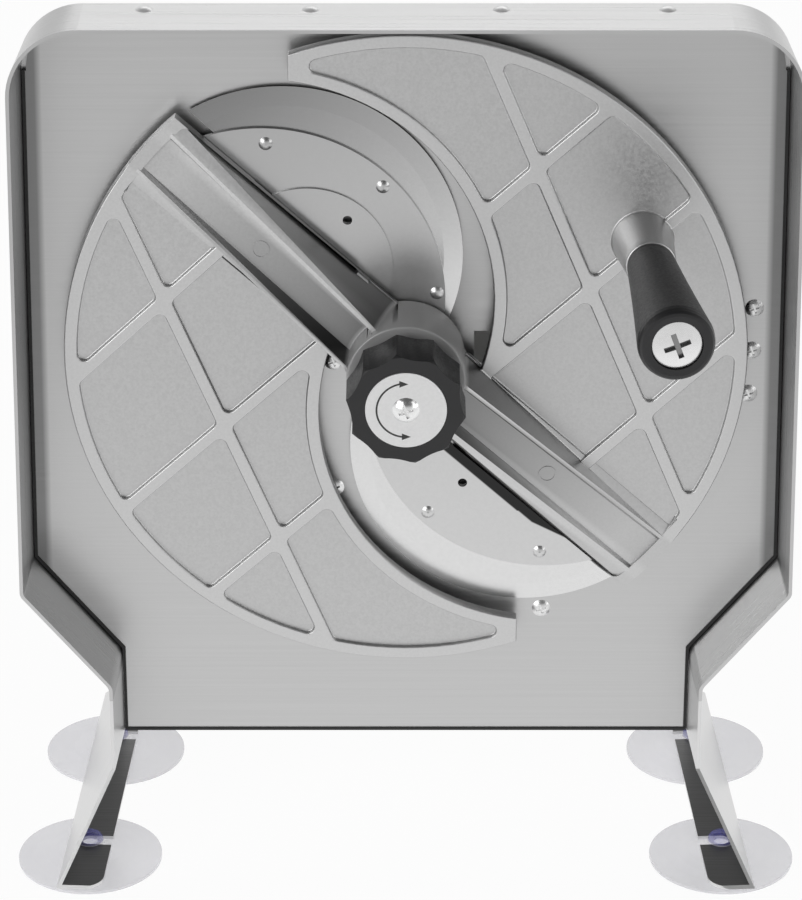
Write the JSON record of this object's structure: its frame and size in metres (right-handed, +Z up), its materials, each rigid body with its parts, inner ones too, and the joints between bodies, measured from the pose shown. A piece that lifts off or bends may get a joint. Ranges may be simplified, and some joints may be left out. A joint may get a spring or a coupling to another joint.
{
  "type": "rotary vegetable slicer",
  "caption": "Hand-cranked rotary vegetable slicer: ribbed two-lobe gauge plate with crescent blades in a sheet-metal frame on suction feet, with a feed trough behind.",
  "frame": {"origin": "on the table under the middle of the object's box", "axes": "+Z up, +Y from the crank side to the feed trough, +X to the right seen from the crank side"},
  "size_m": [0.3464, 0.3074, 0.397],
  "materials": {
    "brushed_sheet": "horizontally brushed stainless sheet",
    "fastener_steel": "bright plated steel",
    "suction_cup": "soft translucent pale vinyl",
    "cast_aluminium": "matt tumbled casting",
    "bronze": "turned bronze",
    "turned_steel": "turned steel",
    "carrier_steel": "bright rolled sheet",
    "blade_steel": "ground and polished edge",
    "black_plastic": "satin black moulding",
    "black_rubber": "black sealing strip",
    "label_plate": "satin printed disc",
    "pusher_plastic": "white food-grade moulding"
  },
  "bodies": {
    "frame": {"back_plate": "brushed_sheet", "edge_seal": "black_rubber", "shroud_band": "brushed_sheet", "left_leg": "brushed_sheet", "right_leg": "brushed_sheet", "band_rivets": "fastener_steel", "cup_front_left": "suction_cup", "cup_front_right": "suction_cup", "cup_rear_left": "suction_cup", "cup_rear_right": "suction_cup", "feed_trough": "brushed_sheet", "trough_screws": "fastener_steel", "trough_nuts": "fastener_steel", "bearing_housing": "cast_aluminium", "front_bush": "bronze", "rear_bush": "bronze", "housing_screws": "fastener_steel"},
    "rotor": {"main_shaft": "turned_steel", "blade_carrier": "carrier_steel", "drive_bar": "carrier_steel", "collar_screws": "fastener_steel", "upper_blade": "blade_steel", "lower_blade": "blade_steel", "blade_rivets": "fastener_steel", "drive_pin": "turned_steel", "thrust_washer": "fastener_steel", "circlip": "fastener_steel", "gauge_spring": "turned_steel"},
    "gauge": {"gauge_plate": "cast_aluminium", "crank_spindle": "turned_steel", "crank_cap_screw": "fastener_steel"},
    "grip": {"crank_grip": "black_plastic"},
    "knob": {"thickness_knob": "black_plastic", "knob_insert": "bronze", "knob_label": "label_plate", "knob_screw": "fastener_steel"},
    "pusher": {"pusher": "pusher_plastic", "pusher_spikes": "turned_steel", "pusher_stem": "turned_steel", "pusher_knob": "black_plastic"}
  },
  "joints": [
    {"name": "crank_turn", "type": "hinge", "parent": "frame", "child": "rotor", "pos_m": [0, -0.036, 0.241], "axis": [0, 1, 0], "continuous": true},
    {"name": "gauge_slide", "type": "slide", "parent": "rotor", "child": "gauge", "axis": [0, -1, 0], "range_m": [0, 0.006], "deforming": ["gauge_spring"]},
    {"name": "knob_turn", "type": "hinge", "parent": "gauge", "child": "knob", "pos_m": [0, -0.036, 0.241], "axis": [0, -1, 0], "range_deg": [0, 1440]},
    {"name": "grip_spin", "type": "hinge", "parent": "gauge", "child": "grip", "pos_m": [0.10119, -0.072, 0.29458], "axis": [0.0732, -0.9973, 0], "continuous": true},
    {"name": "pusher_slide", "type": "slide", "parent": "frame", "child": "pusher", "axis": [0, -1, 0], "range_m": [0, 0.095]}
  ],
  "couplings": [
    {"joint": "knob_turn", "follows": "gauge_slide", "rad_per_m": 4188.8}
  ]
}
